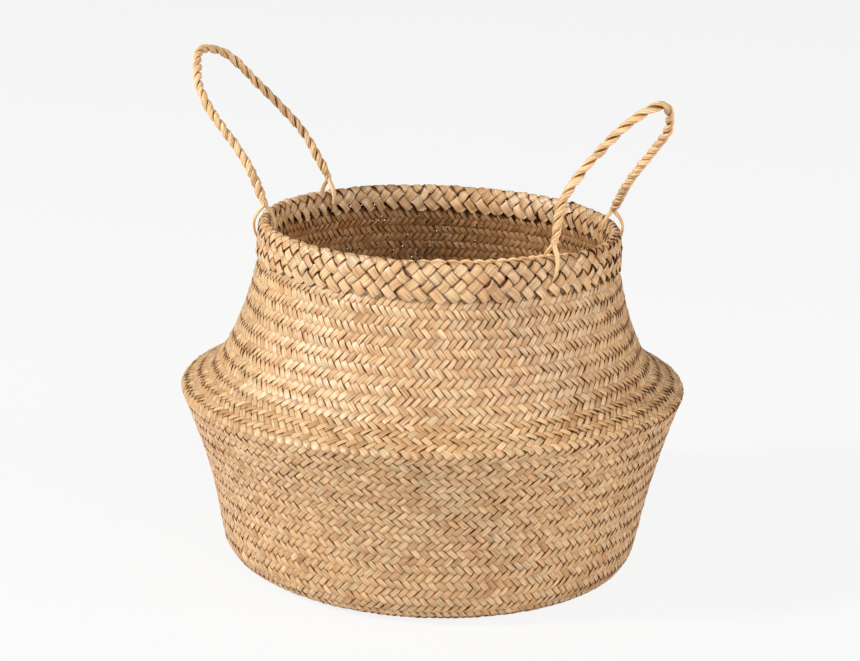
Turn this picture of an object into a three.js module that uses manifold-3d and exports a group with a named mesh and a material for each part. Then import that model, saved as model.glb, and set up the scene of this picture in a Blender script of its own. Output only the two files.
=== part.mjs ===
// Folding belly basket plaited from flattened seagrass strips, with two
// twisted rope handles. Units are millimetres, +Z is up, the base stands on
// z = 0 round the Z axis, and the handles stand at -X and +X.
import * as THREE from 'three';
import { mergeVertices } from 'three/addons/utils/BufferGeometryUtils.js';
import Module from 'manifold-3d';

const wasm = await Module();
wasm.setup();

// ---- driving dimensions -------------------------------------------------
const STEPS_ROUND = 60; // facets round the basket
const WALL = 2.4; // two crossing strips, one over the other
const FOLD_WALL = 2.0; // wall of the stiff rings that stand for the fold
const CLEAR = 0.4; // radial running gap between sliding rings
const SEAM = 0.3; // gap between two pieces that only lie together

const BASE_CORNER = 22; // rounding where the flat base turns up
const BASE_RADIUS = 134; // outside, just above the rounding
const LOW_RADIUS = 141.5; // outside, half way up to the belly
const LOW_Z = 59;
const HIGH_RADIUS = 151.9;
const HIGH_Z = 94;
const BELLY_RADIUS = 160; // the crease the basket folds at
const BELLY_Z = 118;

// the fold: bottom and top outer radius of each ring, and its top height
const FOLD_RINGS = [
  { low: 155.0, high: 144.0, top: 130.5 },
  { low: 140.6, high: 135.5, top: 142 },
  { low: 132.8, high: 129.0, top: 154 },
  { low: 126.4, high: 124.2, top: 166 },
];

const NECK_RADIUS = 121.6; // outside, where the unfolding part of the neck ends
const NECK_Z = 166;
const THROAT_RADIUS = 116.6; // outside, under the rim band
const THROAT_Z = 184;
const RIM_WALL_RADIUS = 111.4; // outside of the wall behind the rim band
const BAND_Z = 199; // points of the turned-down strip ends
const BAND_NOTCH = 4; // how far the notches rise between those points
const BAND_THICK = 2.2;
const BAND_POINTS = 60; // strip ends round the rim
const LIP_Z = 218.4; // underside of the plaited lip
const RIM_Z = 222; // top of the plaited lip

const STRAND = 3.0; // thickness of a strand over the rim
const STRAND_HOLE = 4.6; // hole it passes through
const STRAND_Z = 205; // height of that hole
const ROPE = 6.4; // thickness of the two-ply rope
const LAY = 19; // length of one full twist
const LEG_RADIUS = 110.4; // middle of the rim
const HINGE_Z = 230; // where the strands part and the handle bends
const KNOT_RADIUS = 3.6;

// Each handle: side, angle from its middle to each leg, lean from upright,
// length, how far each half of the loop reaches at three heights, sideways
// skew, turn of the loop about its own length, and bow of the legs.
const HANDLES = [
  {
    name: 'left', side: -1, leg: 25, lean: 39, long: 109,
    front: [47, 48, 21], rear: [43, 30, 23], skew: -2, turn: 2, bow: -8,
  },
  {
    name: 'right', side: 1, leg: 30, lean: 30, long: 92,
    front: [54, 29, 14], rear: [36, 30, 14], skew: -9, turn: 27, bow: -3,
  },
];

// ---- materials ----------------------------------------------------------
const STRAW = 0xc9a878;
const PALE = 0xd4b68a;
const SHADE = 0xbb9768;
const TAN = 0xc39d6b;

function material(color) {
  return new THREE.MeshStandardMaterial({ color, roughness: 0.75, metalness: 0 });
}

const part = new THREE.Group();
part.name = 'seagrass_belly_basket';

function add(name, geometry, color) {
  const mesh = new THREE.Mesh(geometry, material(color));
  mesh.name = name;
  part.add(mesh);
}

// ---- shaping helpers ----------------------------------------------------
function rad(degrees) {
  return (degrees * Math.PI) / 180;
}

function signedVolume(positions, index) {
  let sum = 0;
  for (let i = 0; i < index.length; i += 3) {
    const a = new THREE.Vector3().fromArray(positions, index[i] * 3);
    const b = new THREE.Vector3().fromArray(positions, index[i + 1] * 3);
    const c = new THREE.Vector3().fromArray(positions, index[i + 2] * 3);
    sum += a.dot(b.cross(c));
  }
  return sum / 6;
}

// A closed loop of closed sections: rows[i] is the list of points of section i.
function closedSweep(rows) {
  const n = rows.length;
  const m = rows[0].length;
  const positions = [];
  for (const row of rows) {
    for (const p of row) {
      positions.push(p.x, p.y, p.z);
    }
  }
  const index = [];
  for (let i = 0; i < n; i += 1) {
    for (let j = 0; j < m; j += 1) {
      const a = i * m + j;
      const b = ((i + 1) % n) * m + j;
      const c = ((i + 1) % n) * m + ((j + 1) % m);
      const d = i * m + ((j + 1) % m);
      index.push(a, b, c, a, c, d);
    }
  }
  if (signedVolume(positions, index) < 0) {
    for (let i = 0; i < index.length; i += 3) {
      const keep = index[i + 1];
      index[i + 1] = index[i + 2];
      index[i + 2] = keep;
    }
  }
  const geometry = new THREE.BufferGeometry();
  geometry.setAttribute('position', new THREE.Float32BufferAttribute(positions, 3));
  geometry.setIndex(index);
  geometry.computeVertexNormals();
  return geometry;
}

// A hollow ring round Z: outline(i) gives the [radius, z] corners at facet i.
function ring(steps, outline) {
  const rows = [];
  for (let i = 0; i < steps; i += 1) {
    const turn = (2 * Math.PI * i) / steps;
    const row = outline(i).map(
      ([r, z]) => new THREE.Vector3(r * Math.cos(turn), r * Math.sin(turn), z),
    );
    rows.push(row);
  }
  return closedSweep(rows);
}

function tidy(geometry) {
  const copy = geometry.clone();
  copy.deleteAttribute('normal');
  copy.deleteAttribute('uv');
  const merged = mergeVertices(copy, 1e-4);
  merged.computeVertexNormals();
  return merged;
}

function toSolid(geometry) {
  const merged = tidy(geometry);
  const mesh = new wasm.Mesh({
    numProp: 3,
    vertProperties: new Float32Array(merged.attributes.position.array),
    triVerts: new Uint32Array(merged.index.array),
  });
  return new wasm.Manifold(mesh);
}

function fromSolid(solid) {
  const mesh = solid.getMesh();
  const geometry = new THREE.BufferGeometry();
  geometry.setAttribute('position', new THREE.Float32BufferAttribute(mesh.vertProperties, 3));
  geometry.setIndex(Array.from(mesh.triVerts));
  return tidy(geometry);
}

// ---- base and lower wall ------------------------------------------------
const FLOOR_RADIUS = BASE_RADIUS - BASE_CORNER;

function baseMat() {
  const edge = FLOOR_RADIUS - SEAM;
  const profile = [
    new THREE.Vector2(0, 0),
    new THREE.Vector2(edge, 0),
    new THREE.Vector2(edge, WALL),
    new THREE.Vector2(0, WALL),
  ];
  const disc = new THREE.LatheGeometry(profile, STEPS_ROUND);
  disc.rotateX(Math.PI / 2);
  return tidy(disc);
}

function lowerWall() {
  const outer = [];
  const inner = [];
  for (let i = 0; i <= 4; i += 1) {
    const a = rad(i * 22.5);
    outer.push([
      FLOOR_RADIUS + BASE_CORNER * Math.sin(a),
      BASE_CORNER - BASE_CORNER * Math.cos(a),
    ]);
    inner.push([
      FLOOR_RADIUS + (BASE_CORNER - WALL) * Math.sin(a),
      BASE_CORNER - (BASE_CORNER - WALL) * Math.cos(a),
    ]);
  }
  outer.push([LOW_RADIUS, LOW_Z], [HIGH_RADIUS, HIGH_Z], [BELLY_RADIUS, BELLY_Z]);
  inner.push([LOW_RADIUS - WALL, LOW_Z], [HIGH_RADIUS - WALL, HIGH_Z]);
  inner.push([BELLY_RADIUS - WALL - CLEAR, BELLY_Z]);
  const outline = outer.concat(inner.reverse());
  return ring(STEPS_ROUND, () => outline);
}

// ---- the fold -----------------------------------------------------------
function foldRing(number) {
  const { low, high, top } = FOLD_RINGS[number];
  const under = number === 0 ? BELLY_Z : FOLD_RINGS[number - 1].top;
  const slope = Math.atan2(top - under, low - high);
  const across = FOLD_WALL / Math.sin(slope);
  const outline = [
    [low, under],
    [high, top],
    [high - across, top],
    [low - across, under],
  ];
  return ring(STEPS_ROUND, () => outline);
}

// ---- neck and rim -------------------------------------------------------
// One radial hole for each of the four strands, through wall and bands.
function strandHoles() {
  const holes = [];
  for (const { side, leg } of HANDLES) {
    for (const turn of [-leg, leg]) {
      const drill = new THREE.CylinderGeometry(STRAND_HOLE / 2, STRAND_HOLE / 2, 24, 10);
      drill.rotateZ(Math.PI / 2);
      drill.translate(LEG_RADIUS, 0, STRAND_Z);
      drill.rotateZ(rad(side > 0 ? turn : 180 + turn));
      holes.push(toSolid(drill));
    }
  }
  return holes;
}

function pierced(geometry) {
  let solid = toSolid(geometry);
  for (const hole of strandHoles()) {
    solid = solid.subtract(hole);
  }
  return fromSolid(solid);
}

function neckWall() {
  const top = LIP_Z - SEAM;
  const outline = [
    [NECK_RADIUS, NECK_Z],
    [THROAT_RADIUS, THROAT_Z],
    [RIM_WALL_RADIUS + 2.4, BAND_Z - 4],
    [RIM_WALL_RADIUS, BAND_Z - 1],
    [RIM_WALL_RADIUS, top],
    [RIM_WALL_RADIUS - WALL, top],
    [RIM_WALL_RADIUS - WALL, BAND_Z - 2],
    [THROAT_RADIUS - WALL, THROAT_Z],
    [NECK_RADIUS - WALL, NECK_Z],
  ];
  return pierced(ring(STEPS_ROUND, () => outline));
}

// Strips turned down over the rim: their cut points hang in a zigzag.
function rimBand(inside, thick) {
  const top = LIP_Z - SEAM;
  return pierced(
    ring(BAND_POINTS * 2, (i) => {
      const low = i % 2 === 0 ? BAND_Z : BAND_Z + BAND_NOTCH;
      return [
        [inside + thick, low],
        [inside + thick, top],
        [inside, top],
        [inside, low],
      ];
    }),
  );
}

// The lip is plaited: every second strip stands a little prouder.
function rimLip() {
  const inside = RIM_WALL_RADIUS - WALL - SEAM - BAND_THICK;
  const outside = RIM_WALL_RADIUS + SEAM + BAND_THICK;
  return ring(BAND_POINTS * 2, (i) => {
    const swell = i % 2 === 0 ? 0 : 0.9;
    return [
      [outside - 0.2, LIP_Z],
      [outside, LIP_Z + 1.6 - swell],
      [outside - 2.2, RIM_Z - swell],
      [inside + 2.2, RIM_Z - swell],
      [inside, LIP_Z + 1.6 - swell],
      [inside + 0.2, LIP_Z],
    ];
  });
}

// ---- handles ------------------------------------------------------------
// A strand: a closed loop over the lip and back through the wall.
function rimStrand(turn) {
  const outside = RIM_WALL_RADIUS + SEAM + BAND_THICK + 0.5 + STRAND / 2;
  const inside = RIM_WALL_RADIUS - WALL - SEAM - BAND_THICK - 0.5 - STRAND / 2;
  const top = RIM_Z + 0.4 + STRAND / 2;
  const way = [
    [LEG_RADIUS, top],
    [LEG_RADIUS + 3.6, top - 0.5],
    [outside, RIM_Z - 2.5],
    [outside, STRAND_Z + 3],
    [outside - 2.2, STRAND_Z],
    [inside + 2.2, STRAND_Z],
    [inside, STRAND_Z + 3],
    [inside, RIM_Z - 2.5],
    [LEG_RADIUS - 3.6, top - 0.5],
  ];
  const points = way.map(([r, z]) => new THREE.Vector3(r, 0, z));
  const curve = new THREE.CatmullRomCurve3(points, true, 'centripetal');
  const steps = 26;
  const sides = 5;
  const across = new THREE.Vector3(0, 1, 0);
  const rows = [];
  for (let i = 0; i < steps; i += 1) {
    const centre = curve.getPointAt(i / steps);
    const along = curve.getTangentAt(i / steps);
    const out = new THREE.Vector3().crossVectors(across, along);
    const row = [];
    for (let j = 0; j < sides; j += 1) {
      const a = (2 * Math.PI * j) / sides;
      const corner = centre.clone();
      corner.addScaledVector(out, (STRAND / 2) * Math.cos(a));
      corner.addScaledVector(across, (STRAND / 2) * Math.sin(a));
      row.push(corner.applyAxisAngle(new THREE.Vector3(0, 0, 1), turn));
    }
    rows.push(row);
  }
  return closedSweep(rows);
}

// Middle line of a handle, from leg to leg.
function handleLine({ side, leg, lean, long, front, rear, skew, turn, bow }) {
  const half = LEG_RADIUS * Math.sin(rad(leg));
  const out = LEG_RADIUS * Math.cos(rad(leg));
  const heights = [0, 0.33, 0.72, 0.93, 1, 0.93, 0.72, 0.33, 0];
  const widths = [-half, -front[0], -front[1], -front[2], 0, rear[2], rear[1], rear[0], half];
  const points = heights.map((h, i) => {
    const up = long * h;
    const a = rad(turn * h);
    const x = out + up * Math.sin(rad(lean)) + widths[i] * Math.sin(a) + bow * 4 * h * (1 - h);
    const y = widths[i] * Math.cos(a) + skew * h;
    return new THREE.Vector3(side * x, y, HINGE_Z + up * Math.cos(rad(lean)));
  });
  return new THREE.CatmullRomCurve3(points, false, 'centripetal');
}

// One of the two plies, wound round the middle line.
function handlePly(handle, phase) {
  const line = handleLine(handle);
  const length = line.getLength();
  const start = (KNOT_RADIUS + 1.5) / length;
  const turns = Math.round(length / LAY);
  const count = turns * 7;
  const normal = new THREE.Vector3(
    Math.cos(rad(handle.lean)) * handle.side,
    0,
    -Math.sin(rad(handle.lean)),
  );
  const offset = ROPE / 4 + 0.15;
  const points = [];
  for (let i = 0; i <= count; i += 1) {
    const u = start + ((1 - 2 * start) * i) / count;
    const centre = line.getPointAt(u);
    const along = line.getTangentAt(u);
    const side = new THREE.Vector3().crossVectors(normal, along).normalize();
    const a = (2 * Math.PI * turns * i) / count + phase;
    centre.addScaledVector(normal, offset * Math.cos(a));
    centre.addScaledVector(side, offset * Math.sin(a));
    points.push(centre);
  }
  const circle = new THREE.Shape();
  const radius = ROPE / 4 - 0.05;
  circle.moveTo(radius, 0);
  for (let j = 1; j < 5; j += 1) {
    const a = (2 * Math.PI * j) / 5;
    circle.lineTo(radius * Math.cos(a), radius * Math.sin(a));
  }
  circle.closePath();
  const path = new THREE.CatmullRomCurve3(points, false, 'centripetal');
  const geometry = new THREE.ExtrudeGeometry(circle, {
    steps: count,
    bevelEnabled: false,
    extrudePath: path,
  });
  return tidy(geometry);
}

// The turn of ply where a leg divides into its two strands.
function legKnot(side, turn) {
  const ball = new THREE.SphereGeometry(KNOT_RADIUS, 9, 6);
  ball.rotateX(Math.PI / 2);
  const a = rad(side > 0 ? turn : 180 + turn);
  ball.translate(LEG_RADIUS * Math.cos(a), LEG_RADIUS * Math.sin(a), HINGE_Z);
  return tidy(ball);
}

// ---- assembly -----------------------------------------------------------
add('base_mat', baseMat(), SHADE);
add('lower_wall', lowerWall(), TAN);
for (let i = 0; i < FOLD_RINGS.length; i += 1) {
  add(`fold_ring_${i + 1}`, foldRing(i), STRAW);
}
add('neck_wall', neckWall(), STRAW);
add('rim_band_outer', rimBand(RIM_WALL_RADIUS + SEAM, BAND_THICK), PALE);
add('rim_band_inner', rimBand(RIM_WALL_RADIUS - WALL - SEAM - BAND_THICK, BAND_THICK), SHADE);
add('rim_lip', rimLip(), PALE);
for (const handle of HANDLES) {
  for (const [end, turn] of [['front', -1], ['rear', 1]]) {
    const angle = handle.side > 0 ? turn * handle.leg : 180 - turn * handle.leg;
    add(`${handle.name}_strand_${end}`, rimStrand(rad(angle)), PALE);
    add(`${handle.name}_knot_${end}`, legKnot(1, angle), PALE);
  }
  add(`${handle.name}_ply_a`, handlePly(handle, 0), PALE);
  add(`${handle.name}_ply_b`, handlePly(handle, Math.PI), STRAW);
}

export default part;
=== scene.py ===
import math

import bpy
import numpy as np
from mathutils import Matrix, Vector


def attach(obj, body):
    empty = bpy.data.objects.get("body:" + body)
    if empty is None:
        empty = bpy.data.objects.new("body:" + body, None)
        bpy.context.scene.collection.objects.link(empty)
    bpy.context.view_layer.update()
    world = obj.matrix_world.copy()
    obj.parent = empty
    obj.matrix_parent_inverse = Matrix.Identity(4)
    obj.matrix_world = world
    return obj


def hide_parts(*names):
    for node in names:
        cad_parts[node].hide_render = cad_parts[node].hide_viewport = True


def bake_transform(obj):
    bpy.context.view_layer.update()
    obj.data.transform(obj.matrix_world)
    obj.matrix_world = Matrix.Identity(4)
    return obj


bl_info = {
    "name": "Seagrass belly basket",
    "version": (1, 0, 0),
    "blender": (4, 5, 0),
    "location": "3D View > Sidebar > Basket",
    "description": "Plaits a folding seagrass basket strip by strip",
    "category": "Object",
}

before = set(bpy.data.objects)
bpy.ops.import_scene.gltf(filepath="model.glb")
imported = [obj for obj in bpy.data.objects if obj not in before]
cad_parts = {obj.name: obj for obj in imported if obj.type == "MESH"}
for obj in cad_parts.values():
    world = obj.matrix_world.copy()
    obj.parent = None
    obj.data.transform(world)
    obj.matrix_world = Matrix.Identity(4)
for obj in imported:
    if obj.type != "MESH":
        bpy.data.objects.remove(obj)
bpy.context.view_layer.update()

MM = 0.001
FULL = 2 * math.pi

# ---- shape of the basket, in millimetres --------------------------------
# outside of the wall, from under the base up to the back of the rim band
LOWER_PROFILE = [
    (103.0, 0.6), (112.0, 0.3), (120.5, 1.9), (127.5, 6.4), (132.2, 13.6),
    (134.2, 22.0), (137.4, 40.0), (141.5, 59.0), (146.4, 77.0), (151.9, 94.0),
    (156.2, 107.0), (160.6, 118.0),
]
UPPER_PROFILE = [
    (160.6, 118.0), (150.0, 124.2), (140.2, 130.0), (132.6, 140.0), (127.0, 152.0),
    (121.6, 166.0), (117.4, 181.0), (114.6, 193.0), (112.4, 199.0), (111.6, 208.0),
]
RIM_PROFILE = [
    (115.6, 197.8), (114.9, 201.0), (114.6, 206.0), (114.3, 214.0), (113.4, 219.4),
    (110.6, 222.2), (107.6, 220.0), (106.5, 214.5), (106.0, 209.0), (105.4, 204.5),
]
BELLY_Z = 118.0

# handles: the same middle lines as the fixed frame's plies
LEG_RADIUS = 110.4
HINGE_Z = 230.0
HANDLES = {
    "left": {
        "side": -1, "leg": 25, "lean": 39, "long": 109,
        "front": (47, 48, 21), "rear": (43, 30, 23), "skew": -2, "turn": 2, "bow": -8,
        "twist": (1.25, 1.15, 0.95, 0.85, 0.85, 0.9, 0.95),
        "drift": {"front": 1.5, "rear": -1.0},
    },
    "right": {
        "side": 1, "leg": 30, "lean": 30, "long": 92,
        "front": (54, 29, 14), "rear": (36, 30, 14), "skew": -9, "turn": 27, "bow": -3,
        "twist": (0.9, 0.75, 0.7, 0.75, 1.0, 1.3, 1.35),
        "drift": {"front": -4.0, "rear": 1.0},
    },
}


# ---- sizes and colours a user would change ------------------------------
class WeaveSettings(bpy.types.PropertyGroup):
    """Strips of the walls and the base."""

    strips_round: bpy.props.IntProperty(
        name="Strips round", description="Strips of each slant round the wall", default=164)
    strip_width: bpy.props.FloatProperty(
        name="Strip width", description="Width of a flattened strip",
        default=0.0038, subtype="DISTANCE", unit="LENGTH")
    strip_thickness: bpy.props.FloatProperty(
        name="Strip thickness", description="Thickness of a strip at its middle",
        default=0.00115, subtype="DISTANCE", unit="LENGTH")
    base_strip_width: bpy.props.FloatProperty(
        name="Base strip width", description="Width of a strip of the base mat",
        default=0.0042, subtype="DISTANCE", unit="LENGTH")
    seed: bpy.props.IntProperty(
        name="Seed", description="Changes the small irregularities", default=7)


class RimSettings(bpy.types.PropertyGroup):
    """Strips that are turned down over the rim."""

    strips_round: bpy.props.IntProperty(
        name="Strips round", description="Turned-down strips of each slant", default=76)
    strip_width: bpy.props.FloatProperty(
        name="Strip width", description="Width of a turned-down strip",
        default=0.0057, subtype="DISTANCE", unit="LENGTH")
    strip_thickness: bpy.props.FloatProperty(
        name="Strip thickness", description="Thickness of a turned-down strip",
        default=0.0011, subtype="DISTANCE", unit="LENGTH")


class RopeSettings(bpy.types.PropertyGroup):
    """Two-ply rope of the handles."""

    diameter: bpy.props.FloatProperty(
        name="Rope diameter", description="Across both plies",
        default=0.0062, subtype="DISTANCE", unit="LENGTH")
    lay: bpy.props.FloatProperty(
        name="Lay", description="Rope length of one full twist",
        default=0.0165, subtype="DISTANCE", unit="LENGTH")


class ColourSettings(bpy.types.PropertyGroup):
    """Colours of dried seagrass."""

    pale: bpy.props.FloatVectorProperty(
        name="Pale straw", description="The palest strips", subtype="COLOR",
        size=3, default=(0.80, 0.57, 0.335), min=0, max=1)
    straw: bpy.props.FloatVectorProperty(
        name="Straw", description="Most strips", subtype="COLOR",
        size=3, default=(0.655, 0.418, 0.205), min=0, max=1)
    tan: bpy.props.FloatVectorProperty(
        name="Tan", description="Warmer strips", subtype="COLOR",
        size=3, default=(0.51, 0.275, 0.115), min=0, max=1)
    olive: bpy.props.FloatVectorProperty(
        name="Olive", description="The few strips that stayed greenish", subtype="COLOR",
        size=3, default=(0.50, 0.39, 0.215), min=0, max=1)


class StageSettings(bpy.types.PropertyGroup):
    """Floor, lights and camera."""

    azimuth: bpy.props.FloatProperty(
        name="Azimuth", description="Turn of the camera round the basket",
        default=math.radians(22), subtype="ANGLE")
    elevation: bpy.props.FloatProperty(
        name="Elevation", description="Height angle of the camera",
        default=math.radians(16.64), subtype="ANGLE")
    roll: bpy.props.FloatProperty(
        name="Roll", description="Turn of the camera round its own view line",
        default=math.radians(2.12), subtype="ANGLE")
    distance: bpy.props.FloatProperty(
        name="Distance", description="Camera to the middle of the belly",
        default=1.535, subtype="DISTANCE", unit="LENGTH")
    lens: bpy.props.FloatProperty(
        name="Lens", description="Focal length in millimetres", default=100.03)


SETTINGS = {
    "basket_weave": WeaveSettings,
    "basket_rim": RimSettings,
    "basket_rope": RopeSettings,
    "basket_colours": ColourSettings,
    "basket_stage": StageSettings,
}


# ---- materials ----------------------------------------------------------
def new_socket(group, name, way, kind, default=None):
    socket = group.interface.new_socket(name=name, in_out=way, socket_type=kind)
    if default is not None:
        socket.default_value = default
    return socket


def seagrass_group():
    """Colour, roughness and height of one dried strip, from its UV and its tint, with painted shade
    where it dives under, on its inner side and along its edges.
    """
    group = bpy.data.node_groups.get("seagrass_fibre")
    if group:
        return group
    group = bpy.data.node_groups.new("seagrass_fibre", "ShaderNodeTree")
    colours = bpy.context.scene.basket_colours
    new_socket(group, "Pale", "INPUT", "NodeSocketColor", (*colours.pale, 1))
    new_socket(group, "Straw", "INPUT", "NodeSocketColor", (*colours.straw, 1))
    new_socket(group, "Tan", "INPUT", "NodeSocketColor", (*colours.tan, 1))
    new_socket(group, "Olive", "INPUT", "NodeSocketColor", (*colours.olive, 1))
    new_socket(group, "Fibre Lines", "INPUT", "NodeSocketFloat", 900.0)
    new_socket(group, "Streak", "INPUT", "NodeSocketFloat", 0.5)
    new_socket(group, "Edge Shade", "INPUT", "NodeSocketFloat", 0.35)
    new_socket(group, "Colour", "OUTPUT", "NodeSocketColor")
    new_socket(group, "Roughness", "OUTPUT", "NodeSocketFloat")
    new_socket(group, "Height", "OUTPUT", "NodeSocketFloat")
    nodes = group.nodes
    links = group.links
    given = nodes.new("NodeGroupInput")
    put = nodes.new("NodeGroupOutput")

    def math_node(operation, a, b=None, clamp=False):
        node = nodes.new("ShaderNodeMath")
        node.operation = operation
        node.use_clamp = clamp
        for k, value in enumerate((a, b)):
            if value is None:
                continue
            if isinstance(value, (int, float)):
                node.inputs[k].default_value = value
            else:
                links.new(value, node.inputs[k])
        return node.outputs[0]

    def mix_colour(kind, factor, a, b):
        node = nodes.new("ShaderNodeMix")
        node.data_type = "RGBA"
        node.blend_type = kind
        for key, value in ((0, factor), (6, a), (7, b)):
            if isinstance(value, (int, float)):
                node.inputs[key].default_value = value
            elif isinstance(value, tuple):
                node.inputs[key].default_value = value
            else:
                links.new(value, node.inputs[key])
        return node.outputs[2]

    def ramp(fac, stops, mode="LINEAR"):
        node = nodes.new("ShaderNodeValToRGB")
        node.color_ramp.interpolation = mode
        while len(node.color_ramp.elements) < len(stops):
            node.color_ramp.elements.new(0.5)
        for element, (place, value) in zip(node.color_ramp.elements, stops):
            element.position = place
            element.color = (value, value, value, 1)
        links.new(fac, node.inputs[0])
        return node.outputs[0]

    tint = nodes.new("ShaderNodeAttribute")
    tint.attribute_name = "tint"
    uv = nodes.new("ShaderNodeUVMap")
    uv.uv_map = "strip"
    apart = nodes.new("ShaderNodeSeparateXYZ")
    links.new(uv.outputs[0], apart.inputs[0])
    along = apart.outputs[0]
    across = apart.outputs[1]

    def noise(place, detail):
        node = nodes.new("ShaderNodeTexNoise")
        node.inputs["Scale"].default_value = 1.0
        node.inputs["Detail"].default_value = detail
        links.new(place, node.inputs["Vector"])
        return node.outputs[0]

    def place(*parts):
        node = nodes.new("ShaderNodeCombineXYZ")
        for k, (socket, scale) in enumerate(parts):
            links.new(math_node("MULTIPLY", socket, scale), node.inputs[k])
        return node.outputs[0]

    # fine lines along the strip, and slower changes along its length
    own = tint.outputs["Fac"]
    fine = noise(place((along, 60.0), (across, given.outputs["Fibre Lines"]), (own, 37.0)), 1.5)
    slow = noise(place((along, 85.0), (own, 91.0), (across, 0.6)), 1.0)
    patch = noise(place((along, 60.0), (own, 53.0)), 0.0)

    # strip by strip: tan, straw, pale, a few greenish and short brown lengths
    drift = math_node("MULTIPLY", math_node("SUBTRACT", slow, 0.5), 1.15)
    level = math_node("MULTIPLY_ADD", own, 0.42)
    level.node.inputs[2].default_value = 0.28
    tone = math_node("ADD", level, drift, clamp=True)
    to_straw = ramp(tone, [(0.05, 0.0), (0.45, 1.0)])
    to_pale = ramp(tone, [(0.45, 0.0), (0.95, 1.0)])
    to_olive = ramp(own, [(0.86, 0.0), (0.92, 0.45)])
    to_brown = ramp(patch, [(0.68, 0.0), (0.76, 0.40)])
    colour = mix_colour("MIX", to_straw, given.outputs["Tan"], given.outputs["Straw"])
    colour = mix_colour("MIX", to_pale, colour, given.outputs["Pale"])
    colour = mix_colour("MIX", to_olive, colour, given.outputs["Olive"])
    colour = mix_colour("MULTIPLY", to_brown, colour, (0.60, 0.40, 0.26, 1))

    # painted shade: darker where a strip dives under its neighbours, and darker brown on its inner
    # side, facing into the basket
    depth = nodes.new("ShaderNodeAttribute")
    depth.attribute_name = "depth"
    inner = nodes.new("ShaderNodeAttribute")
    inner.attribute_name = "inner"
    level = math_node("MULTIPLY_ADD", depth.outputs["Fac"], 0.5)
    level.node.inputs[2].default_value = 0.5
    # painted shade where the strip passes under the crossing strips
    dive_shade = ramp(level, [(0.12, 1.0), (0.72, 0.0)])
    colour = mix_colour("MULTIPLY", dive_shade, colour, (0.30, 0.18, 0.10, 1))
    # painted shade on the inner side of each wall strip, the inside of the basket
    colour = mix_colour("MULTIPLY", inner.outputs["Fac"], colour, (0.74, 0.61, 0.50, 1))

    # streaks, and painted shade along both edges of a strip, where it meets its neighbours
    streak = ramp(fine, [(0.36, 0.50), (0.60, 1.0)])
    streak_colour = mix_colour("MIX", given.outputs["Streak"], (1, 1, 1, 1), streak)
    colour = mix_colour("MULTIPLY", 1.0, colour, streak_colour)
    centre = math_node("MULTIPLY", math_node("SUBTRACT", across, 0.5), 2.0)
    edge_shade = math_node("POWER", math_node("ABSOLUTE", centre), 7.0)
    edge_shade_amount = math_node("MULTIPLY", edge_shade, given.outputs["Edge Shade"], clamp=True)
    # painted shade along the strip's edges and sides
    colour = mix_colour("MULTIPLY", edge_shade_amount, colour, (0.34, 0.19, 0.10, 1))

    rough = math_node("MULTIPLY_ADD", fine, 0.25)
    rough.node.inputs[2].default_value = 0.34
    links.new(colour, put.inputs["Colour"])
    links.new(rough, put.inputs["Roughness"])
    links.new(fine, put.inputs["Height"])
    return group


def seagrass_material(name, lines, streak, edge_shade, shade=1.0, bump=0.35, shine=0.6):
    material = bpy.data.materials.get(name)
    if material:
        return material
    material = bpy.data.materials.new(name)
    material.use_nodes = True
    nodes = material.node_tree.nodes
    links = material.node_tree.links
    shader = nodes["Principled BSDF"]
    fibre = nodes.new("ShaderNodeGroup")
    fibre.node_tree = seagrass_group()
    colours = bpy.context.scene.basket_colours
    for socket, colour in (
        ("Pale", colours.pale), ("Straw", colours.straw),
        ("Tan", colours.tan), ("Olive", colours.olive),
    ):
        fibre.inputs[socket].default_value = (*[c * shade for c in colour], 1)
    fibre.inputs["Fibre Lines"].default_value = lines
    fibre.inputs["Streak"].default_value = streak
    fibre.inputs["Edge Shade"].default_value = edge_shade
    height = nodes.new("ShaderNodeBump")
    height.inputs["Strength"].default_value = bump
    height.inputs["Distance"].default_value = 0.0004
    links.new(fibre.outputs["Colour"], shader.inputs["Base Color"])
    links.new(fibre.outputs["Roughness"], shader.inputs["Roughness"])
    links.new(fibre.outputs["Height"], height.inputs["Height"])
    links.new(height.outputs[0], shader.inputs["Normal"])
    shader.inputs["Specular IOR Level"].default_value = shine
    return material


# ---- strips -------------------------------------------------------------
def deselect():
    if bpy.context.object and bpy.context.object.mode != "OBJECT":
        bpy.ops.object.mode_set(mode="OBJECT")
    bpy.ops.object.select_all(action="DESELECT")


def strip_blank(name, rings, corners):
    """A straight closed strip along X with that many rings of corners."""
    deselect()
    bpy.ops.mesh.primitive_cylinder_add(
        vertices=corners, radius=1, depth=1, end_fill_type="NOTHING",
        location=(0.5, 0, 0), rotation=(0, math.pi / 2, 0))
    blank = bpy.context.object
    blank.name = name
    bpy.ops.object.transform_apply(location=True, rotation=True, scale=True)
    array = blank.modifiers.new("lengthen", "ARRAY")
    array.count = rings - 1
    array.use_relative_offset = False
    array.use_constant_offset = True
    array.constant_offset_displace = (1, 0, 0)
    array.use_merge_vertices = True
    array.merge_threshold = 0.01
    bpy.ops.object.modifier_apply(modifier=array.name)
    bpy.ops.object.mode_set(mode="EDIT")
    bpy.ops.mesh.select_all(action="SELECT")
    bpy.ops.mesh.fill_holes(sides=corners)
    bpy.ops.mesh.select_all(action="SELECT")
    bpy.ops.mesh.normals_make_consistent(inside=False)
    bpy.ops.object.mode_set(mode="OBJECT")
    deselect()
    return blank


def blank_layout(blank, corners):
    """For each vertex of a blank, its ring and its corner; and its faces."""
    mesh = blank.data
    co = np.empty(len(mesh.vertices) * 3)
    mesh.vertices.foreach_get("co", co)
    co = co.reshape(-1, 3)
    ring = np.rint(co[:, 0]).astype(int)
    turn = np.arctan2(co[:, 2], co[:, 1])
    turn = np.mod(turn - turn[0], FULL)
    corner = np.mod(np.rint(turn / (FULL / corners)).astype(int), corners)
    faces = [tuple(p.vertices) for p in mesh.polygons]
    return ring, corner, faces


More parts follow.
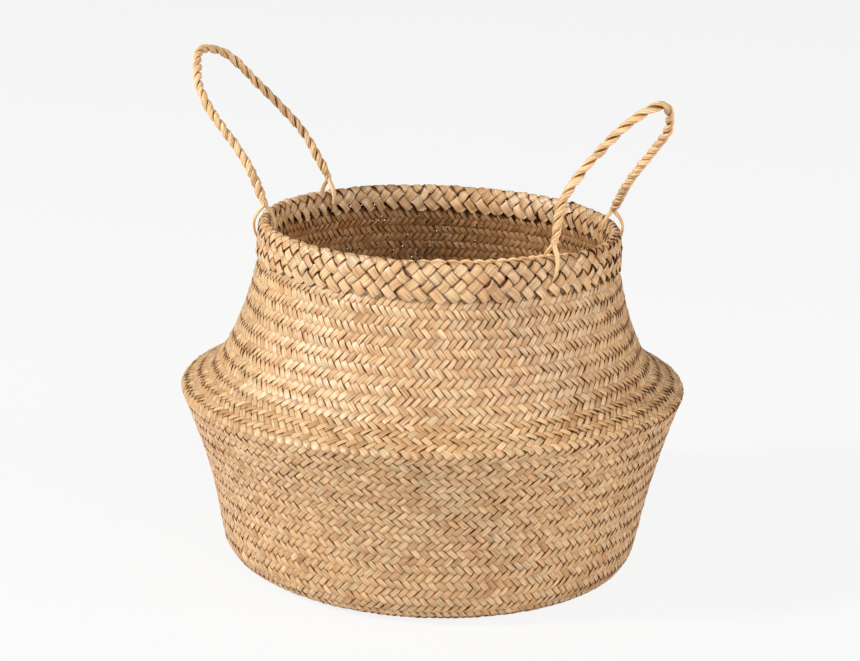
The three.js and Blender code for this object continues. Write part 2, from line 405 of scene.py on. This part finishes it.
def lay_strips(name, blank, corners, places, uvs, tints, material, crisp=(), depths=None,
               inner=None):
    """One mesh of many strips. places[k][ring][corner] is a point in millimetres."""
    ring, corner, faces = blank_layout(blank, corners)
    count = len(places)
    points = np.asarray(places)[:, ring, corner, :] * MM
    uv = np.asarray(uvs)[:, ring, corner, :]
    size = len(ring)
    volume_sign = facing(points[0], faces)
    loops = []
    starts = []
    totals = []
    at = 0
    for face in faces:
        order = face if volume_sign > 0 else face[::-1]
        starts.append(at)
        totals.append(len(order))
        loops.extend(order)
        at += len(order)
    loops = np.array(loops)
    all_loops = (loops[None, :] + np.arange(count)[:, None] * size).ravel()
    all_starts = (np.array(starts)[None, :] + np.arange(count)[:, None] * at).ravel()
    mesh = bpy.data.meshes.new(name)
    mesh.vertices.add(count * size)
    mesh.vertices.foreach_set("co", points.reshape(-1))
    mesh.loops.add(len(all_loops))
    mesh.loops.foreach_set("vertex_index", all_loops)
    mesh.polygons.add(len(all_starts))
    mesh.polygons.foreach_set("loop_start", all_starts)
    mesh.polygons.foreach_set("loop_total", np.tile(totals, count))
    mesh.update(calc_edges=True)
    layer = mesh.uv_layers.new(name="strip")
    layer.data.foreach_set("uv", uv.reshape(-1, 2)[all_loops].ravel())
    attribute = mesh.attributes.new("tint", "FLOAT", "POINT")
    attribute.data.foreach_set("value", np.repeat(np.asarray(tints, float), size))
    # 1 where a strip lies on top, -1 where it dives under; and which side it shows. The material
    # paints shade from both
    deep = np.ones((count, size)) if depths is None else np.asarray(depths)[:, ring, corner]
    attribute = mesh.attributes.new("depth", "FLOAT", "POINT")
    attribute.data.foreach_set("value", deep.ravel())
    turned = np.zeros(size) if inner is None else np.asarray(inner, float)[corner]
    attribute = mesh.attributes.new("inner", "FLOAT", "POINT")
    attribute.data.foreach_set("value", np.tile(turned, count))
    mesh.polygons.foreach_set("use_smooth", np.ones(len(all_starts), bool))
    if crisp:
        ends = np.empty(len(mesh.edges) * 2, int)
        mesh.edges.foreach_get("vertices", ends)
        ends = ends.reshape(-1, 2) % size
        lengthwise = corner[ends[:, 0]] == corner[ends[:, 1]]
        sharp = mesh.attributes.new("sharp_edge", "BOOLEAN", "EDGE")
        closing = np.isin(ring[ends], (0, ring.max())).all(axis=1) & ~lengthwise
        creased = lengthwise & np.isin(corner[ends[:, 0]], crisp)
        sharp.data.foreach_set("value", creased | closing)
    mesh.validate()
    mesh.materials.append(material)
    piece = bpy.data.objects.new(name, mesh)
    bpy.context.collection.objects.link(piece)
    return piece


def facing(points, faces):
    """Above zero where the faces look outwards."""
    total = 0.0
    for face in faces:
        a = points[face[0]]
        for k in range(1, len(face) - 1):
            total += np.dot(a, np.cross(points[face[k]], points[face[k + 1]]))
    return total


def drop(blank):
    bpy.data.objects.remove(blank, do_unlink=True)


# ---- surface of the basket ----------------------------------------------
def settle(points):
    """The hand-made basket is not quite round, and its belly crease tips a little."""
    out = np.array(points, float)
    x, y, z = out[..., 0], out[..., 1], out[..., 2]
    turn = np.arctan2(y, x)
    belly = np.exp(-((z - BELLY_Z) / 42.0) ** 2)
    wave = 1 + 0.0035 * np.sin(3 * turn + 0.8) * belly + 0.002 * np.sin(5 * turn + 2.1)
    to_right = math.radians(22)
    lift = 3.2 * np.cos(turn - to_right) * belly * np.clip(z / 30.0, 0, 1)
    out[..., 0] = x * wave - 1.6 * math.cos(to_right) * belly
    out[..., 1] = y * wave - 1.6 * math.sin(to_right) * belly
    out[..., 2] = z + lift
    return out


class Surface:
    """A surface of revolution whose height is counted in crossings of the plait."""

    def __init__(self, profile, strips, widths, inset, smooth, phase):
        points = np.array(profile, float)
        leg = np.hypot(*np.diff(points, axis=0).T)
        s = np.concatenate([[0], np.cumsum(leg)])
        fine = np.linspace(0, s[-1], int(s[-1] / 0.25))
        r = np.interp(fine, s, points[:, 0])
        z = np.interp(fine, s, points[:, 1])
        half = max(1, int(smooth / 0.25))
        kernel = np.hanning(2 * half + 3)
        kernel /= kernel.sum()
        pad = len(kernel) // 2
        r2 = np.concatenate([2 * r[0] - r[pad:0:-1], r, 2 * r[-1] - r[-2:-pad - 2:-1]])
        z2 = np.concatenate([2 * z[0] - z[pad:0:-1], z, 2 * z[-1] - z[-2:-pad - 2:-1]])
        r = np.convolve(r2, kernel, "valid")
        z = np.convolve(z2, kernel, "valid")
        dr, dz = np.gradient(r), np.gradient(z)
        size = np.hypot(dr, dz)
        self.tr, self.tz = dr / size, dz / size
        self.nr, self.nz = self.tz, -self.tr
        self.r = r - inset * self.nr
        self.z = z - inset * self.nz
        self.s = np.concatenate([[0], np.cumsum(np.hypot(np.diff(self.r), np.diff(self.z)))])
        self.strips = strips
        heights, sizes = zip(*widths)
        self.width = np.interp(self.z, heights, sizes)
        slant = np.clip(self.width * strips / (FULL * self.r), 0.2, 0.93)
        self.slant = np.arcsin(slant)
        v = np.cumsum(np.cos(self.slant) / self.width * np.gradient(self.s))
        self.m = 2 * v
        self.m -= self.m[0]
        self.m += phase

    def place(self, turn, s, lift):
        r = np.interp(s, self.s, self.r)
        z = np.interp(s, self.s, self.z)
        nr = np.interp(s, self.s, self.nr)
        nz = np.interp(s, self.s, self.nz)
        rr = r + nr * lift
        return np.stack([rr * np.cos(turn), rr * np.sin(turn), z + nz * lift], -1)


# a flattened strip across: slightly crowned on top, crisp along both edges
SECTION = np.array([(-1.0, 0.32), (0.0, 0.50), (1.0, 0.32), (0.96, -0.42), (-0.96, -0.42)])
SECTION_V = np.array([0.0, 0.5, 1.0, 1.0, 0.0])
SECTION_INNER = np.array([0, 0, 0, 1, 1])
CRISP = (0, 2, 3, 4)


def plait(surface, way, stations, wave, thick, rng, wide=0.97, ends=None, rough=1.0):
    """Places, uvs and tints of every strip that slants one way on a surface."""
    count = surface.strips
    m = np.asarray(stations, float)
    rings = len(m)
    k = np.arange(count)[:, None]
    own_wide = wide * (1 + 0.09 * rng.standard_normal((count, 1)))
    own_wide = own_wide + 0.07 * smooth_noise(rng, count, rings, 5)
    own_wide = np.clip(own_wide, 0.76 * wide, 1.14)
    mm = np.repeat(m[None, :], count, 0)
    if ends is not None:
        mm = ends(mm, rng)
    s = np.interp(mm, surface.m, surface.s)
    slant = np.interp(mm, surface.m, surface.slant)
    r = np.interp(mm, surface.m, surface.r)
    width = np.interp(mm, surface.m, surface.width)
    turn = FULL * (k + way * mm / 2) / count
    jitter = 0.06 * width * smooth_noise(rng, count, rings, 4)
    lift = wave(mm) * way + 0.08 * rough * smooth_noise(rng, count, rings, 3)
    roll = 0.06 * way + 0.20 * rough * smooth_noise(rng, count, rings, 3)
    half = width / 2 * own_wide
    y = SECTION[:, 0][None, None, :] * half[..., None] + jitter[..., None]
    up = SECTION[:, 1][None, None, :] * thick
    up = up + SECTION[:, 0][None, None, :] * roll[..., None]
    turn_all = turn[..., None] + (-way * np.sin(slant) / r)[..., None] * y
    s_all = s[..., None] + np.cos(slant)[..., None] * y
    places = surface.place(turn_all, s_all, lift[..., None] + up)
    length = s / np.maximum(np.sin(slant), 0.3) * MM + rng.random((count, 1)) * 3.0
    uvs = np.empty(places.shape[:3] + (2,))
    uvs[..., 0] = length[..., None]
    uvs[..., 1] = SECTION_V[None, None, :]
    tints = rng.random(count)
    level = np.clip(wave(mm) * way / np.abs(wave(np.array(0.5))), -1, 1)
    if ends is not None:
        # the cut ends lie free, with nothing over them to shade them
        near = np.clip(np.minimum(mm - mm[:, :1], mm[:, -1:] - mm) / 1.3, 0, 1)
        level = level * near + 0.5 * (1 - near)
    depths = level[..., None] * np.where(SECTION_INNER > 0, -1, 1)[None, None, :]
    return places, uvs, tints, depths


def smooth_noise(rng, count, rings, step):
    """Noise along each strip that changes over a few rings."""
    coarse = rng.standard_normal((count, rings // step + 3))
    at = np.arange(rings) / step
    low = at.astype(int)
    part = at - low
    part = part * part * (3 - 2 * part)
    return coarse[:, low] * (1 - part) + coarse[:, low + 1] * part


def twill_wave(height):
    def wave(m):
        return height * np.tanh(2.6 * np.cos(math.pi * (m - 0.5) / 2)) / math.tanh(2.6)
    return wave


def plain_wave(height):
    def wave(m):
        return height * np.tanh(2.0 * np.cos(math.pi * m)) / math.tanh(2.0)
    return wave


def wall_surface():
    """The whole wall, base to rim; the strips run unbroken over the belly crease."""
    weave = bpy.context.scene.basket_weave
    width = weave.strip_width / MM
    # the strips taper a little towards the neck
    widths = [(0, width), (BELLY_Z, width), (150, 0.98 * width), (200, 0.90 * width)]
    profile = LOWER_PROFILE + UPPER_PROFILE[1:]
    return Surface(profile, weave.strips_round, widths, 1.0, 2.0, 0.0)


def stations_between(first, last, step):
    inner = np.arange(math.ceil(first / step + 0.2), last / step - 0.2) * step
    return np.concatenate([[first], inner, [last]])


def make_wall(names, upper, replaced):
    """The strips of both slants, from the base to the belly crease or on from it."""
    weave = bpy.context.scene.basket_weave
    thick = weave.strip_thickness / MM
    surface = wall_surface()
    stations = stations_between(surface.m[0], surface.m[-1], 0.5)
    crease = int(np.argmin(np.abs(stations - surface.m[np.argmax(surface.r)])))
    rings = slice(crease, None) if upper else slice(0, crease + 1)
    # the upper strips are packed a little looser, so light shows through here and there
    height = np.interp(stations, surface.m, surface.z)
    wide = np.interp(height, (BELLY_Z, BELLY_Z + 12, 165, 200), (1.0, 0.965, 0.955, 0.925))
    material = seagrass_material("dried_wall_strips", 6.0, 0.8, 0.75, 0.965)
    rng = np.random.default_rng(weave.seed)
    blank = strip_blank("strip_blank", len(stations[rings]), len(SECTION))
    made = []
    for name, way in zip(names, (1, -1)):
        wave = twill_wave(thick * 0.60)
        places, uvs, tints, depths = plait(surface, way, stations, wave, thick, rng, wide)
        piece = lay_strips(name, blank, len(SECTION), settle(places)[:, rings],
                           uvs[:, rings], tints, material,
                           CRISP, depths[:, rings], SECTION_INNER)
        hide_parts(*replaced)
        made.append(piece)
    drop(blank)
    return made


# ---- one operator for each group of pieces ------------------------------
class PlaitBase(bpy.types.Operator):
    """Plait the flat base mat out of crossing straight strips."""

    bl_idname = "basket.plait_base"
    bl_label = "Plait the base mat"

    def execute(self, context):
        weave = context.scene.basket_weave
        width = weave.base_strip_width / MM
        thick = weave.strip_thickness / MM
        radius = 113.0
        rng = np.random.default_rng(weave.seed + 5)
        material = seagrass_material("dried_base_strips", 5.0, 0.55, 0.4, 0.92)
        count = int(2 * radius / width)
        wave = twill_wave(thick * 0.52)
        rings = 2 * count
        blank = strip_blank("strip_blank", rings, len(SECTION))
        for name, along in (("base_strips_across", 0), ("base_strips_deep", 1)):
            places, uvs, depths = [], [], []
            for k in range(count):
                off = (k - (count - 1) / 2) * width
                reach = math.sqrt(max(radius ** 2 - off ** 2, 100.0))
                t = np.linspace(-reach, reach, rings)
                crossing = t / width + (count - 1) / 2
                lift = wave(crossing - k) * (1 if along == 0 else -1)
                if along == 1:
                    lift = -wave(k - crossing) * 1.0
                noise = smooth_noise(rng, 1, rings, 4)[0]
                row = np.empty((rings, len(SECTION), 3))
                side = off + SECTION[:, 0][None, :] * width / 2 * 0.97 + 0.05 * width * noise[:, None]
                up = 3.3 + lift[:, None] + SECTION[:, 1][None, :] * thick
                row[..., along] = t[:, None]
                row[..., 1 - along] = side
                row[..., 2] = up
                places.append(row)
                uv = np.empty((rings, len(SECTION), 2))
                uv[..., 0] = t[:, None] * MM + rng.random() * 3
                uv[..., 1] = SECTION_V[None, :]
                uvs.append(uv)
                level = np.clip(lift / (0.52 * thick), -1, 1)
                depths.append(level[:, None] * np.where(SECTION_INNER > 0, -1, 1)[None, :])
            tints = rng.random(count)
            piece = lay_strips(name, blank, len(SECTION), places, uvs, tints, material,
                               CRISP, depths)
            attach(piece, "lower_body")
            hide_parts("base_mat")
        drop(blank)
        return {"FINISHED"}


class PlaitLowerWall(bpy.types.Operator):
    """Plait the wall from the base up to the belly crease."""

    bl_idname = "basket.plait_lower_wall"
    bl_label = "Plait the lower wall"

    def execute(self, context):
        names = ("lower_strips_rising_right", "lower_strips_rising_left")
        for piece in make_wall(names, False, ["lower_wall"]):
            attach(piece, "lower_body")
        return {"FINISHED"}


class PlaitUpperWall(bpy.types.Operator):
    """Plait the wall from the belly crease up to the rim; on the real basket this wall turns inside
    out to fold.
    """

    bl_idname = "basket.plait_upper_wall"
    bl_label = "Plait the upper wall"

    def execute(self, context):
        names = ("upper_strips_rising_right", "upper_strips_rising_left")
        replaced = ["fold_ring_1", "fold_ring_2", "fold_ring_3", "fold_ring_4", "neck_wall"]
        for piece in make_wall(names, True, replaced):
            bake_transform(piece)
        return {"FINISHED"}


class PlaitRim(bpy.types.Operator):
    """Plait the strips that are turned down over the rim, with their cut ends."""

    bl_idname = "basket.plait_rim"
    bl_label = "Plait the rim"

    def execute(self, context):
        rim = context.scene.basket_rim
        width = rim.strip_width / MM
        thick = rim.strip_thickness / MM
        slope = math.radians(47)
        spacing = FULL * 113.8 / rim.strips_round * math.sin(slope)
        surface = Surface(RIM_PROFILE, rim.strips_round, [(0, spacing)], 0.9, 1.5, 0.0)
        rng = np.random.default_rng(context.scene.basket_weave.seed + 2)
        material = seagrass_material("dried_rim_strips", 8.0, 0.85, 0.8, 1.0)
        stations = stations_between(surface.m[0], surface.m[-1], 0.25)
        blank = strip_blank("strip_blank", len(stations), len(SECTION))
        wave = plain_wave(thick * 0.62)
        for name, way in (("rim_strips_rising_right", 1), ("rim_strips_rising_left", -1)):
            # the ends of one slant hang free below the band, the others are tucked in
            def cut(m, random, tucked=(way > 0)):
                low = 0.85 if tucked else 0.0
                first = low + 0.45 * random.random((len(m), 1))
                last = m[:, -1:] - low - 0.4 * random.random((len(m), 1))
                share = (m - m[:, :1]) / (m[:, -1:] - m[:, :1])
                return first + (last - first) * share
            places, uvs, tints, depths = plait(
                surface, way, stations, wave, thick, rng, width / spacing, cut, 1.6)
            piece = lay_strips(name, blank, len(SECTION), settle(places), uvs, tints, material,
                               CRISP, depths)
            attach(piece, "neck")
            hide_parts("rim_band_outer", "rim_band_inner", "rim_lip")
        drop(blank)
        self.twist_edge(rng)
        return {"FINISHED"}

    def twist_edge(self, rng):
        """A thin twist of two strands along the inner edge of the lip."""
        count = 900
        turn = np.linspace(0, FULL, count + 1)[:-1]
        turn = np.append(turn, FULL)
        # it stands clear of the lip on the right only, and is buried elsewhere
        clear = np.exp(-((np.cos(turn + math.radians(48)) - 1) / 0.22) ** 2)
        high = 214.0 + 7.2 * clear + 0.4 * np.sin(9 * turn + 1)
        radius = 108.8 - 1.4 * clear + 0.35 * np.sin(7 * turn)
        centre = np.stack([radius * np.cos(turn), radius * np.sin(turn), high], -1)
        out = np.stack([np.cos(turn), np.sin(turn), 0 * turn], -1)
        up = np.tile(np.array((0.0, 0.0, 1.0)), (count + 1, 1))
        blank = strip_blank("ply_blank", count + 1, 8)
        places, uvs = [], []
        for ply in range(2):
            angle = -46 * turn + 1.2 * np.sin(5 * turn) + math.pi * ply
            line = centre + 0.8 * (np.cos(angle)[:, None] * out + np.sin(angle)[:, None] * up)
            fat = 0.95 + 0.12 * smooth_noise(rng, 1, count + 1, 6)[0]
            places.append(tube_grid(line, out, up, fat * 1.15, fat * 0.8, angle, 8))
            uvs.append(tube_uv(line, 8, rng.random() * 3))
        piece = lay_strips("rim_edge_twist", blank, 8, settle(places), uvs,
                           (0.35, 0.6), rope_material())
        drop(blank)
        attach(piece, "neck")
        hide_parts("rim_lip")


# ---- rope ---------------------------------------------------------------
def spline(points, per_span=24):
    """A smooth line through points, with the spacing set by the root of their gaps."""
    p = np.array(points, float)
    p = np.vstack([2 * p[0] - p[1], p, 2 * p[-1] - p[-2]])
    out = []
    for i in range(1, len(p) - 2):
        a, b, c, d = p[i - 1:i + 3]
        t0 = 0.0
        t1 = t0 + math.sqrt(np.linalg.norm(b - a))
        t2 = t1 + math.sqrt(np.linalg.norm(c - b))
        t3 = t2 + math.sqrt(np.linalg.norm(d - c))
        t = np.linspace(t1, t2, per_span, endpoint=False)[:, None]
        ab = (t1 - t) / (t1 - t0) * a + (t - t0) / (t1 - t0) * b
        bc = (t2 - t) / (t2 - t1) * b + (t - t1) / (t2 - t1) * c
        cd = (t3 - t) / (t3 - t2) * c + (t - t2) / (t3 - t2) * d
        abc = (t2 - t) / (t2 - t0) * ab + (t - t0) / (t2 - t0) * bc
        bcd = (t3 - t) / (t3 - t1) * bc + (t - t1) / (t3 - t1) * cd
        out.append((t2 - t) / (t2 - t1) * abc + (t - t1) / (t2 - t1) * bcd)
    out.append(p[-2][None, :])
    return np.vstack(out)


def even(line, count):
    gap = np.linalg.norm(np.diff(line, axis=0), axis=1)
    s = np.concatenate([[0], np.cumsum(gap)])
    at = np.linspace(0, s[-1], count)
    return np.stack([np.interp(at, s, line[:, k]) for k in range(3)], -1), s[-1]


def handle_line(spec):
    leg, lean = math.radians(spec["leg"]), math.radians(spec["lean"])
    half, out = LEG_RADIUS * math.sin(leg), LEG_RADIUS * math.cos(leg)
    heights = (0, 0.33, 0.72, 0.93, 1, 0.93, 0.72, 0.33, 0)
    front, rear = spec["front"], spec["rear"]
    widths = (-half, -front[0], -front[1], -front[2], 0, rear[2], rear[1], rear[0], half)
    points = []
    for h, w in zip(heights, widths):
        up = spec["long"] * h
        turn = math.radians(spec["turn"] * h)
        bow = spec["bow"] * 4 * h * (1 - h)
        points.append((
            spec["side"] * (out + up * math.sin(lean) + w * math.sin(turn) + bow),
            w * math.cos(turn) + spec["skew"] * h,
            HINGE_Z + up * math.cos(lean),
        ))
    return spline(points)


def frames(line, normal):
    """Directions across a line: one beside the normal, and one kept near it."""
    along = np.gradient(line, axis=0)
    along /= np.linalg.norm(along, axis=1)[:, None]
    side = np.cross(np.atleast_2d(normal), along)
    side /= np.linalg.norm(side, axis=1)[:, None]
    up = np.cross(along, side)
    return along, side, up


def tube_grid(line, side, up, radius_a, radius_b, turn, corners,
              ridges=0.0, ridge_count=3, ridge_turn=0.0):
    """Rings of an oval tube along a line, with fibre ridges that may wind round it."""
    phi = np.arange(corners) * FULL / corners
    swell = 1 + ridges * np.cos(ridge_count * phi[None, :] + np.atleast_1d(ridge_turn)[:, None])
    a = (np.atleast_1d(radius_a)[:, None] * np.cos(phi)[None, :]) * swell
    b = (np.atleast_1d(radius_b)[:, None] * np.sin(phi)[None, :]) * swell
    c, s = np.cos(turn)[:, None], np.sin(turn)[:, None]
    x = a * c - b * s
    y = a * s + b * c
    return line[:, None, :] + x[..., None] * side[:, None, :] + y[..., None] * up[:, None, :]


def tube_shade_depth(corners, ridge_count, ridge_turn):
    """Low on the side against the other ply, and in the furrows between the fibres, where the
    material paints shade.
    """
    phi = np.arange(corners) * FULL / corners
    outside = np.clip(0.15 + 1.3 * np.sin(phi), -1, 1)[None, :]
    furrow = np.cos(ridge_count * phi[None, :] + ridge_turn[:, None])
    return np.minimum(outside, np.clip(0.85 + 0.8 * furrow, -0.35, 1))


def tube_uv(line, corners, seed):
    gap = np.linalg.norm(np.diff(line, axis=0), axis=1)
    s = np.concatenate([[0], np.cumsum(gap)]) * MM
    uv = np.empty((len(line), corners, 2))
    uv[..., 0] = s[:, None] + seed
    half = corners // 2
    fold = np.abs(((np.arange(corners) + half) % corners) - half) / half
    uv[..., 1] = fold[None, :]
    return uv


PLY_CORNERS = 30
PLY_FIBRES = 5


def rope_material():
    return seagrass_material("dried_rope_strips", 9.0, 0.9, 0.0, 1.2, bump=0.2, shine=0.4)


class TwistHandles(bpy.types.Operator):
    """Twist two plies into each rope handle."""

    bl_idname = "basket.twist_handles"
    bl_label = "Twist the handles"

    def execute(self, context):
        rope = context.scene.basket_rope
        for n, (name, spec) in enumerate(HANDLES.items()):
            rng = np.random.default_rng(31 + n)
            centre, length = even(handle_line(spec), 420)
            lean = math.radians(spec["lean"])
            normal = np.array((math.cos(lean) * spec["side"], 0, -math.sin(lean)))
            _, side, up = frames(centre, normal)
            radius = rope.diameter / MM / 4
            share = np.linspace(0, 1, len(centre))
            # the twist is looser in some lengths than in others
            pace = np.interp(share, np.linspace(0, 1, len(spec["twist"])), spec["twist"])
            pace = pace * (1 + 0.10 * smooth_noise(rng, 1, len(centre), 50)[0])
            turned = np.cumsum(pace)
            turned = turned / turned[-1] * round(length / (rope.lay / MM))
            centre = centre + 0.3 * (smooth_noise(rng, 1, len(centre), 30)[0])[:, None] * up
            blank = strip_blank("ply_blank", len(centre), PLY_CORNERS)
            places, uvs, depths = [], [], []
            for ply in range(2):
                angle = -FULL * turned + math.pi * ply
                fibre_turn = FULL * turned * 0.3 + 1.5 * smooth_noise(rng, 1, len(centre), 40)[0]
                wob = 0.08 * smooth_noise(rng, 1, len(centre), 14)[0]
                ends = np.clip(np.minimum(share, 1 - share) * length / 5.0, 0.45, 1)
                off = radius * (0.90 + wob) * ends
                outward = np.cos(angle)[:, None] * up + np.sin(angle)[:, None] * side
                line = centre + off[:, None] * outward
                _, beside, outward = frames(line, outward)
                fat = radius * (1.04 + 0.07 * smooth_noise(rng, 1, len(centre), 12)[0])
                grid = tube_grid(line, beside, outward, fat * 1.15, fat * 0.90,
                                 0.0 * share, PLY_CORNERS, 0.09, PLY_FIBRES, fibre_turn)
                places.append(grid)
                uvs.append(tube_uv(line, PLY_CORNERS, rng.random() * 3))
                depths.append(tube_shade_depth(PLY_CORNERS, PLY_FIBRES, fibre_turn))
            piece = lay_strips(name + "_rope", blank, PLY_CORNERS, places, uvs,
                               (0.55, 0.84), rope_material(), depths=depths)
            drop(blank)
            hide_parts(name + "_ply_a", name + "_ply_b",
                        name + "_knot_front", name + "_knot_rear")
            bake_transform(piece)
        return {"FINISHED"}


class TuckStrands(bpy.types.Operator):
    """Lead each leg's two strands over the rim, one outside and one inside."""

    bl_idname = "basket.tuck_strands"
    bl_label = "Tuck the strands"

    def execute(self, context):
        rng = np.random.default_rng(77)
        for name, spec in HANDLES.items():
            for end, sign in (("front", -1), ("rear", 1)):
                leg = math.radians(spec["leg"])
                turn = sign * leg if spec["side"] > 0 else math.pi - sign * leg
                out = np.array((math.cos(turn), math.sin(turn), 0))
                beside = np.array((-math.sin(turn), math.cos(turn), 0))
                ways = (
                    [(110.6, 232.0), (111.5, 228.2), (114.8, 224.0), (117.0, 218.5),
                     (116.6, 213.0), (114.6, 208.0)],
                    [(110.2, 232.0), (109.3, 228.2), (106.0, 224.0), (103.9, 218.5),
                     (104.4, 213.0), (106.0, 207.5)],
                )
                count = 44
                blank = strip_blank("strand_blank", count, PLY_CORNERS)
                places, uvs = [], []
                for way in ways:
                    drift = spec["drift"][end] + rng.uniform(-1.0, 1.0)
                    points = [out * r + np.array((0, 0, z)) + beside * drift * (232 - z) / 27
                              for r, z in way]
                    line, _ = even(spline(points, 16), count)
                    along, side, up = frames(line, out)
                    share = np.linspace(0, 1, count)
                    wide = 1.40 + 0.50 * np.sin(math.pi * share) - 0.80 * share
                    flat = 1.30 - 0.80 * share
                    grid = tube_grid(line, side, up, wide, flat, 0.5 * share,
                                     PLY_CORNERS, 0.10, 5)
                    places.append(grid)
                    uvs.append(tube_uv(line, PLY_CORNERS, rng.random() * 3))
                piece = lay_strips(f"{name}_strands_{end}", blank, PLY_CORNERS, places, uvs,
                                   (0.6, 0.7), rope_material())
                drop(blank)
                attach(piece, "neck")
                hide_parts(f"{name}_strand_{end}")
        return {"FINISHED"}


# ---- stage --------------------------------------------------------------
class SetStage(bpy.types.Operator):
    """Add the pale floor, the soft studio light and the camera."""

    bl_idname = "basket.set_stage"
    bl_label = "Set the stage"

    def execute(self, context):
        stage = context.scene.basket_stage
        deselect()
        bpy.ops.mesh.primitive_plane_add(size=12, location=(0, 0, -0.0002))
        floor = context.object
        floor.name = "floor"
        material = bpy.data.materials.new("pale_floor")
        material.use_nodes = True
        nodes = material.node_tree.nodes
        links = material.node_tree.links
        shader = nodes["Principled BSDF"]
        shader.inputs["Base Color"].default_value = (0.80, 0.79, 0.78, 1)
        shader.inputs["Roughness"].default_value = 0.9
        shader.inputs["Specular IOR Level"].default_value = 0.0
        # seen directly the floor is as pale as the backdrop, with only a faint shadow
        paper = nodes.new("ShaderNodeEmission")
        paper.inputs["Color"].default_value = (0.955, 0.955, 0.955, 1)
        light_path = nodes.new("ShaderNodeLightPath")
        part = nodes.new("ShaderNodeMath")
        part.operation = "MULTIPLY"
        part.inputs[1].default_value = 0.92
        blend = nodes.new("ShaderNodeMixShader")
        links.new(light_path.outputs["Is Camera Ray"], part.inputs[0])
        links.new(part.outputs[0], blend.inputs[0])
        links.new(shader.outputs[0], blend.inputs[1])
        links.new(paper.outputs[0], blend.inputs[2])
        links.new(blend.outputs[0], nodes["Material Output"].inputs["Surface"])
        floor.data.materials.append(material)

        world = context.scene.world or bpy.data.worlds.new("studio")
        context.scene.world = world
        world.use_nodes = True
        nodes = world.node_tree.nodes
        links = world.node_tree.links
        background = nodes["Background"]
        background.inputs["Color"].default_value = (0.94, 0.97, 1.0, 1)
        background.inputs["Strength"].default_value = 0.19
        backdrop = nodes.new("ShaderNodeBackground")
        backdrop.inputs["Color"].default_value = (0.925, 0.925, 0.925, 1)
        light_path = nodes.new("ShaderNodeLightPath")
        blend = nodes.new("ShaderNodeMixShader")
        links.new(light_path.outputs["Is Camera Ray"], blend.inputs[0])
        links.new(background.outputs[0], blend.inputs[1])
        links.new(backdrop.outputs[0], blend.inputs[2])
        links.new(blend.outputs[0], nodes["World Output"].inputs["Surface"])

        turn = stage.azimuth
        right = Vector((math.cos(turn), math.sin(turn), 0))
        back = Vector((math.sin(turn), -math.cos(turn), 0))

        def soft_light(name, across, towards, high, size, power, colour):
            data = bpy.data.lights.new(name, "AREA")
            data.shape = "DISK"
            data.size = size
            data.energy = power
            data.color = colour
            lamp = bpy.data.objects.new(name, data)
            lamp.location = right * across + back * towards + Vector((0, 0, high))
            aim = Vector((0, 0, 0.14)) - lamp.location
            lamp.rotation_mode = "QUATERNION"
            lamp.rotation_quaternion = aim.to_track_quat("-Z", "Y")
            context.collection.objects.link(lamp)

        soft_light("key_light", -2.3, 1.0, 1.8, 0.40, 108, (1.0, 0.965, 0.93))
        soft_light("front_light", 0.9, 2.6, 1.7, 1.0, 36, (1.0, 0.95, 0.92))
        soft_light("side_light", 2.2, 1.0, 1.2, 1.4, 36, (1.0, 0.91, 0.86))

        high = math.sin(stage.elevation)
        flat = math.cos(stage.elevation)
        away = Vector((back.x * flat, back.y * flat, high))
        up = away.cross(right)
        side = right * math.cos(stage.roll) + up * math.sin(stage.roll)
        top = up * math.cos(stage.roll) - right * math.sin(stage.roll)
        data = bpy.data.cameras.new("camera")
        data.lens = stage.lens
        data.sensor_width = 36
        data.shift_x = -0.005
        data.shift_y = 0.07
        camera = bpy.data.objects.new("camera", data)
        spin = Matrix((side, top, away)).transposed().to_4x4()
        camera.matrix_world = Matrix.Translation(Vector((0, 0, 0.110)) + away * stage.distance) @ spin
        context.collection.objects.link(camera)
        context.scene.camera = camera
        context.scene.view_settings.view_transform = "Standard"
        return {"FINISHED"}


OPERATORS = (
    SetStage, PlaitBase, PlaitLowerWall, PlaitUpperWall, PlaitRim, TwistHandles, TuckStrands,
)


class BasketPanel(bpy.types.Panel):
    """Lists the steps of making the basket."""

    bl_idname = "VIEW3D_PT_basket"
    bl_label = "Seagrass basket"
    bl_space_type = "VIEW_3D"
    bl_region_type = "UI"
    bl_category = "Basket"

    def draw(self, context):
        for operator in OPERATORS:
            self.layout.operator(operator.bl_idname)
        for name, kind in SETTINGS.items():
            box = self.layout.box()
            for key in kind.__annotations__:
                box.prop(getattr(context.scene, name), key)


def register():
    for kind in SETTINGS.values():
        bpy.utils.register_class(kind)
    for operator in OPERATORS:
        bpy.utils.register_class(operator)
    bpy.utils.register_class(BasketPanel)
    for name, kind in SETTINGS.items():
        setattr(bpy.types.Scene, name, bpy.props.PointerProperty(type=kind))


def unregister():
    for name in SETTINGS:
        delattr(bpy.types.Scene, name)
    bpy.utils.unregister_class(BasketPanel)
    for operator in reversed(OPERATORS):
        bpy.utils.unregister_class(operator)
    for kind in reversed(list(SETTINGS.values())):
        bpy.utils.unregister_class(kind)


def main():
    register()
    for operator in OPERATORS:
        group, step = operator.bl_idname.split(".")
        result = getattr(getattr(bpy.ops, group), step)()
        if result != {"FINISHED"}:
            raise RuntimeError(f"{operator.bl_label} did not finish")


if __name__ == "__main__":
    main()
